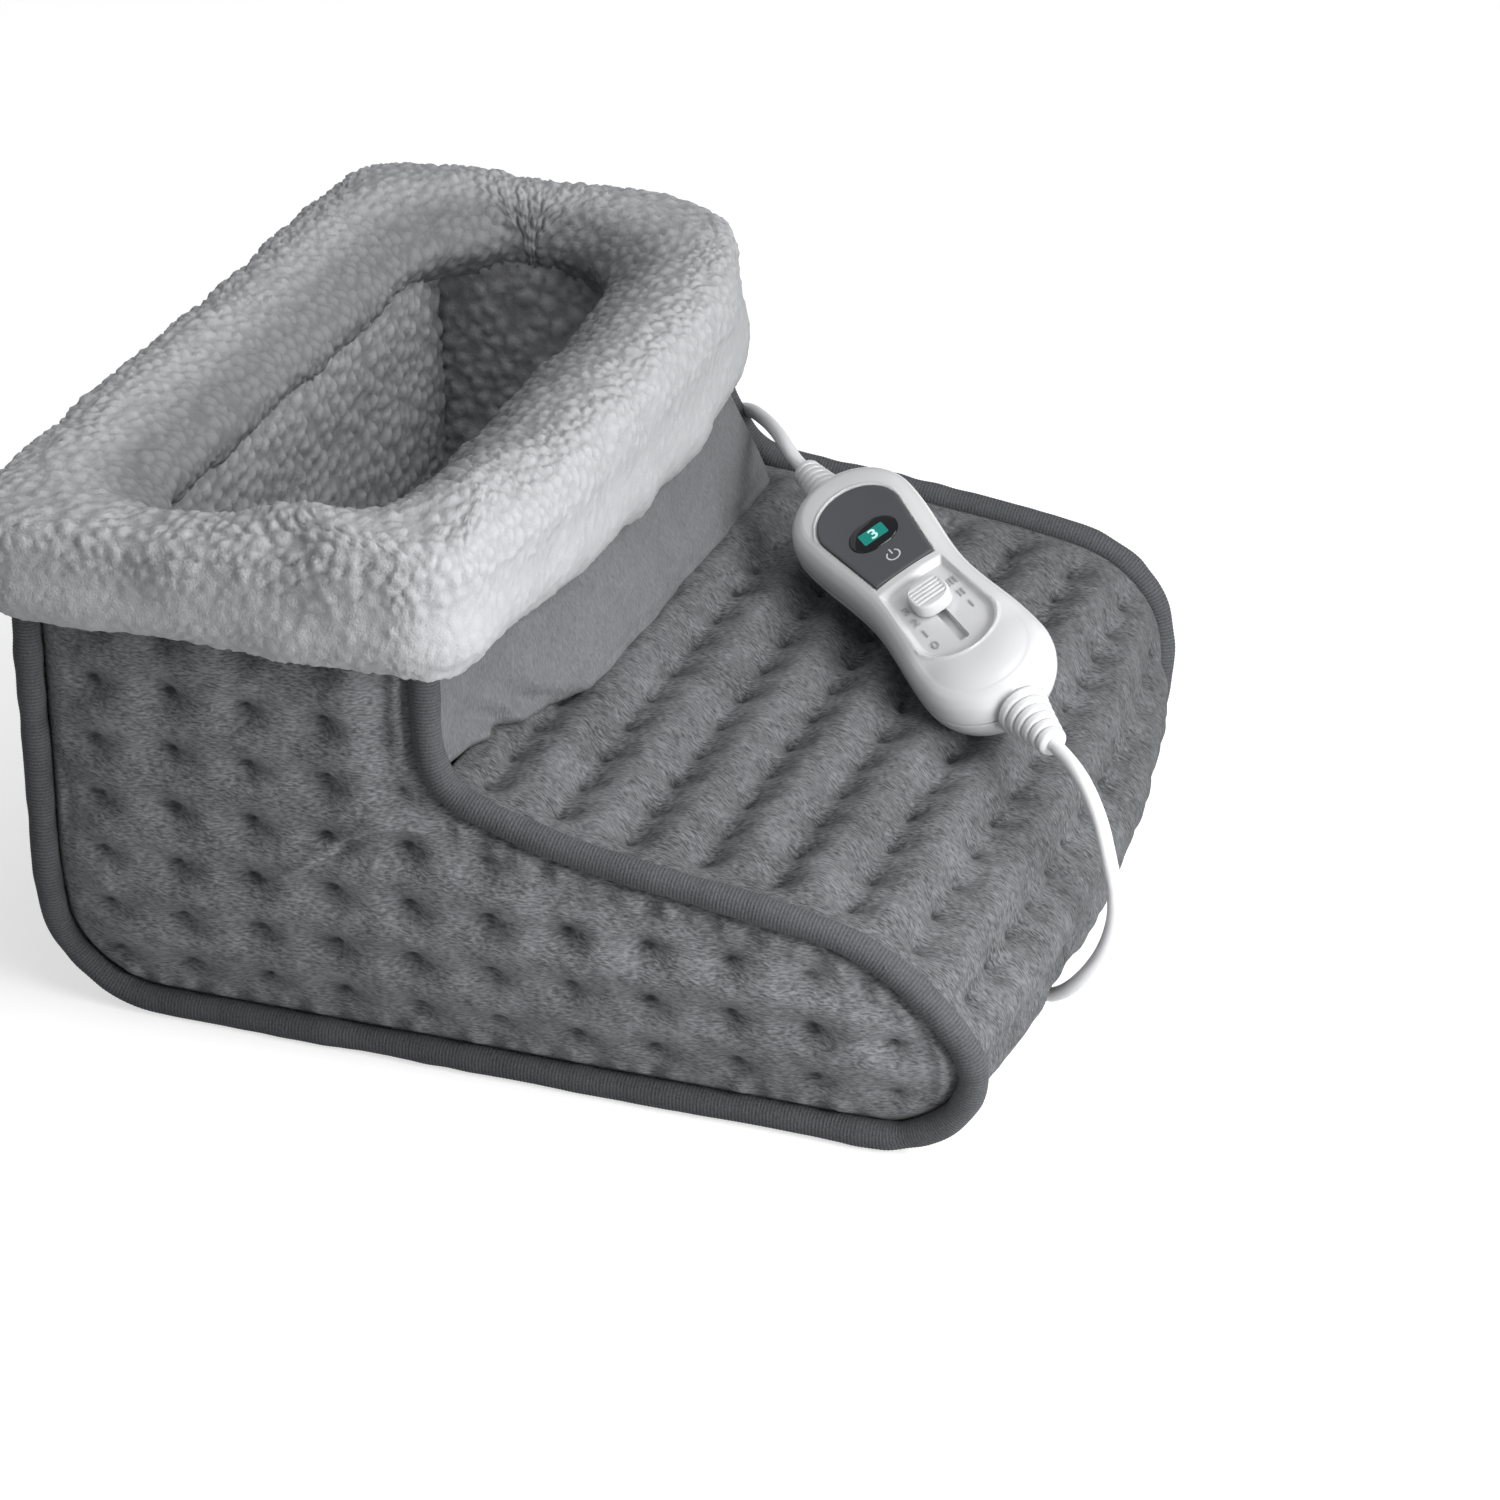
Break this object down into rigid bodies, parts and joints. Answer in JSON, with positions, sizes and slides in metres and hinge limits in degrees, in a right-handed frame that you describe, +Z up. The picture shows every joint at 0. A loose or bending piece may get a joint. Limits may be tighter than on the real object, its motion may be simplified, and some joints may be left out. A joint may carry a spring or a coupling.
{
  "type": "electric foot warmer",
  "caption": "Quilted plush boot that warms both feet from its sole, with a woolly lining and folded cuff, and a slide controller with a display on its cord.",
  "frame": {"origin": "on the floor, at the centre of the footprint of the boot with its controller, cord left out", "axes": "+Z up, toe towards -Y, heel towards +Y; the right side, as seen from the toe, is at +X"},
  "size_m": [0.4139, 0.3907, 0.1897],
  "materials": {
    "quilted_plush": "matt brushed pile",
    "smooth_plush": "matt brushed pile",
    "ribbed_binding": "matt rib knit",
    "sherpa": "curly pile",
    "sole_cloth": "matt woven cloth",
    "foam": "open-cell foam",
    "felt": "matt felt",
    "wire_jacket": "satin",
    "white_plastic": "satin gloss",
    "faceplate_grey": "fine satin",
    "window_black": "gloss",
    "lcd": "glossy",
    "board": "satin",
    "steel": "satin metal",
    "cord_jacket": "satin"
  },
  "bodies": {
    "boot": {"binding_left": "ribbed_binding", "binding_right": "ribbed_binding", "circuit_board": "board", "coil_tie": "ribbed_binding", "collar_panel": "smooth_plush", "controller_bottom_shell": "white_plastic", "controller_top_shell": "white_plastic", "display_window": "window_black", "faceplate": "faceplate_grey", "heating_felt": "felt", "heating_wire": "wire_jacket", "heel_panel": "quilted_plush", "lcd_module": "lcd", "lead_cord": "cord_jacket", "lead_gland": "white_plastic", "lead_strain_relief": "white_plastic", "lining_band": "sherpa", "lining_left": "sherpa", "lining_right": "sherpa", "mains_cord": "cord_jacket", "mains_cord_coil": "cord_jacket", "mains_cord_tail": "cord_jacket", "mains_strain_relief": "white_plastic", "plug_body": "cord_jacket", "plug_pin_1": "steel", "plug_pin_2": "steel", "plug_strain_relief": "cord_jacket", "shell_screw_1": "steel", "shell_screw_2": "steel", "sherpa_cuff": "sherpa", "side_panel_left": "quilted_plush", "side_panel_right": "quilted_plush", "slide_switch_body": "window_black", "sole_foam": "foam", "sole_panel": "sole_cloth", "thermal_fuse": "steel", "thermostat": "steel", "vamp_panel": "quilted_plush"},
    "slider": {"slider_knob": "white_plastic", "switch_actuator": "steel"}
  },
  "joints": [
    {"name": "heat_slider", "type": "slide", "parent": "boot", "child": "slider", "axis": [-0.6879, -0.7123, -0.1392], "range_m": [0, 0.02]}
  ]
}
